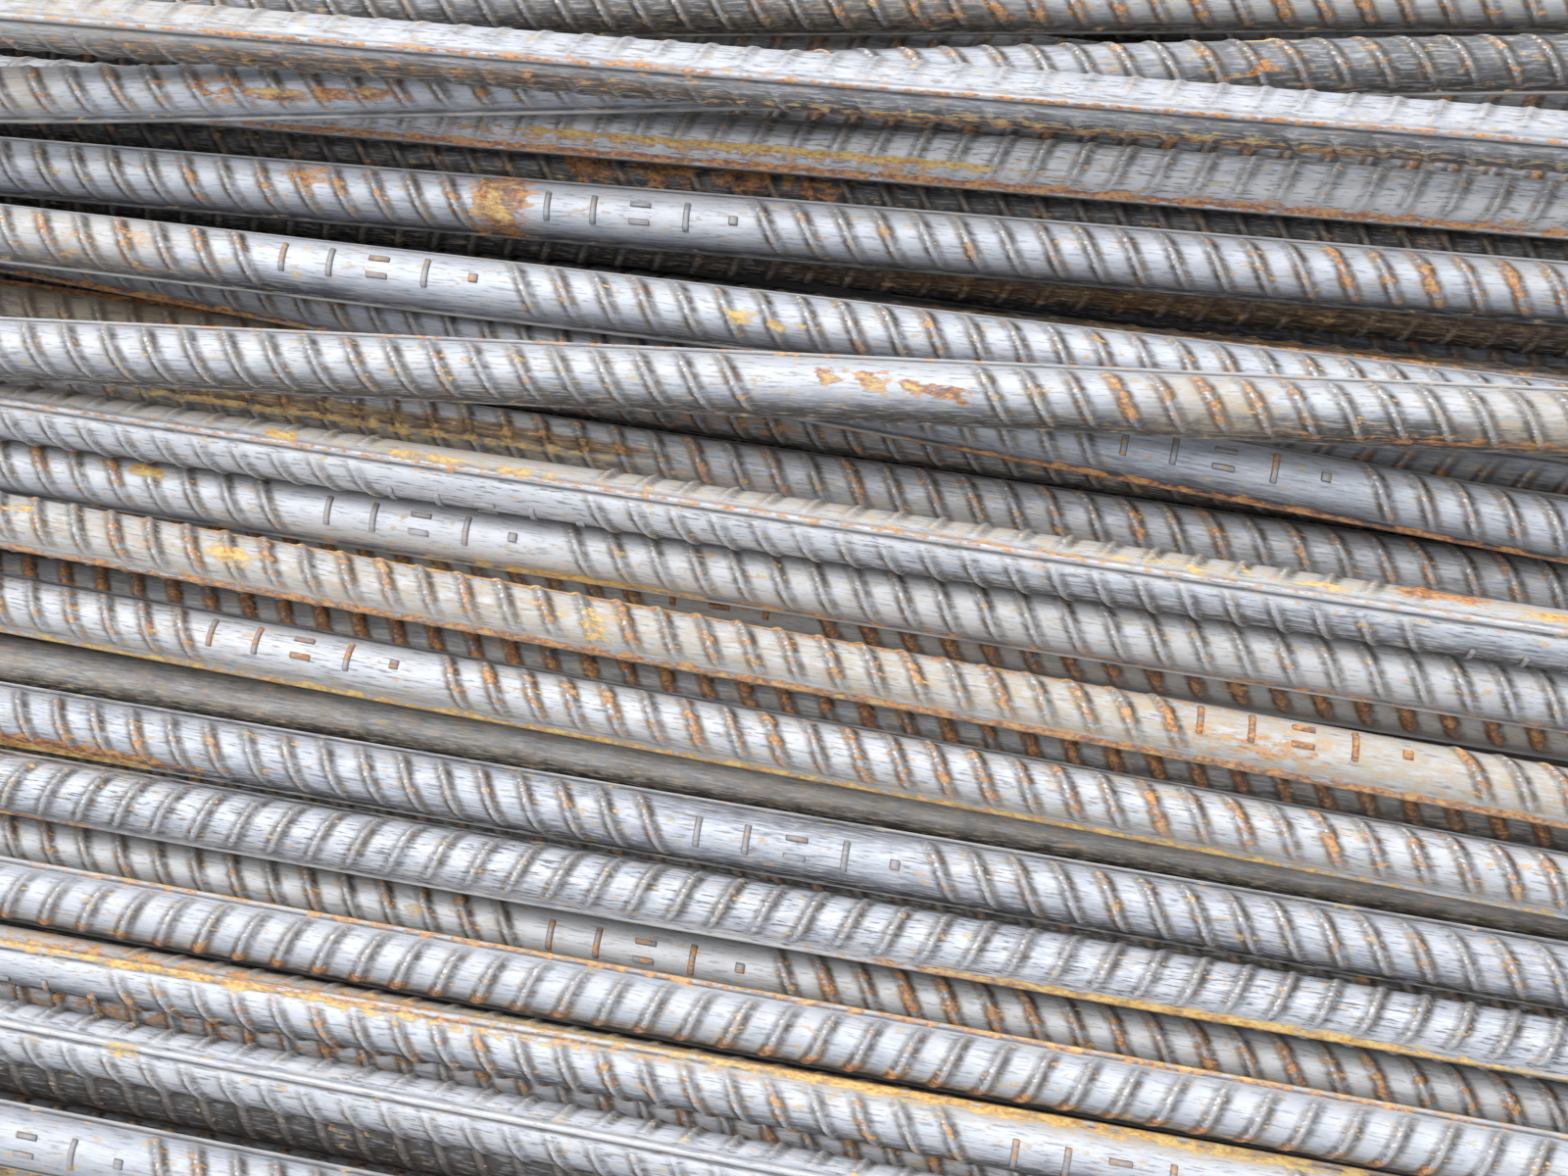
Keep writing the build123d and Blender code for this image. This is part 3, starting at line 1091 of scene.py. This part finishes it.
def make_floor():
    """A plain pale floor that reaches past every view."""
    half = 40.0
    darker = (0.655, 0.65, 0.64)
    paler = (0.675, 0.67, 0.66)
    paint = Material("floor_paint")
    mottle = paint.noise(paint.node("NewGeometry", {}, "Position"), 3, 3, 2.0)
    colour = paint.mix(paint.ramp(mottle, 0.3, 0.7), darker, paler)
    mesh = bpy.data.meshes.new("floor")
    corners = [(-half, -half, 0), (half, -half, 0), (half, half, 0), (-half, half, 0)]
    mesh.from_pydata(corners, [], [(0, 1, 2, 3)])
    mesh.materials.append(paint.surface({"Base Color": colour, "Roughness": 0.8}))
    floor = bpy.data.objects.new("floor", mesh)
    bpy.context.scene.collection.objects.link(floor)
    floor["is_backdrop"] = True


def make_key_light():
    """A wide soft key light from above, a little behind and to the left."""
    lean_back = radians(20)
    lean_left = radians(16)
    key = bpy.data.lights.new("key", "SUN")
    key.energy = 2.0
    key.color = (1.0, 0.99, 0.975)
    key.angle = radians(70)
    lamp = bpy.data.objects.new("key", key)
    lamp.rotation_euler = (-lean_back, -lean_left, 0)
    bpy.context.scene.collection.objects.link(lamp)


def make_studio():
    """A studio that is pale low down and bright at the back, with a plain pale background."""
    world = bpy.data.worlds.new("studio")
    bpy.context.scene.world = world
    world.use_nodes = True
    nodes = Nodes(world.node_tree)
    direction = nodes.node("TexCoord", {}, "Generated")
    back = nodes.ramp(nodes.node("SeparateXYZ", {0: direction}, "Y"), -0.35, 0.75, 0.40, 1.00)
    low_down = nodes.ramp(nodes.node("SeparateXYZ", {0: direction}, "Z"), 0.04, 0.22, 0.75, 0.0)
    light = nodes.largest(back, low_down)

    # What is seen, and what the steel mirrors, is the plain background
    background = 0.85
    rays = [nodes.node("LightPath", {}, f"Is {kind} Ray") for kind in ("Camera", "Glossy", "Transmission")]
    strength = nodes.node("Mix", {0: nodes.largest(*rays), 2: light, 3: background})
    sockets = world.node_tree.nodes["Background"].inputs
    nodes.connect(sockets["Strength"], strength)
    nodes.connect(sockets["Color"], (0.90, 0.945, 1.0))


def make_camera():
    """The camera looks almost straight down, from a little in front and to the right."""
    aim = Vector((0, -0.010, 0.061))
    distance = 0.690
    lean_right = radians(6.6)
    lean_front = radians(8.0)
    heading = radians(8.65)
    forward = Vector((-tan(lean_right), tan(lean_front), -1)).normalized()
    sideways = Vector((cos(heading), sin(heading), 0))
    right = (sideways - forward * sideways.dot(forward)).normalized()
    upward = right.cross(forward)
    turned = Matrix((right, upward, -forward)).transposed().to_4x4()
    camera = bpy.data.cameras.new("camera")
    camera.sensor_width = 36
    camera.lens = 40.5
    camera.clip_start = 0.01
    camera.clip_end = 200
    view = bpy.data.objects.new("camera", camera)
    view.matrix_world = Matrix.Translation(aim - forward * distance) @ turned
    bpy.context.scene.collection.objects.link(view)
    bpy.context.scene.camera = view


make_bars()
make_floor()
make_key_light()
make_studio()
make_camera()
bpy.context.scene.view_settings.view_transform = "Standard"

low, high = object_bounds()
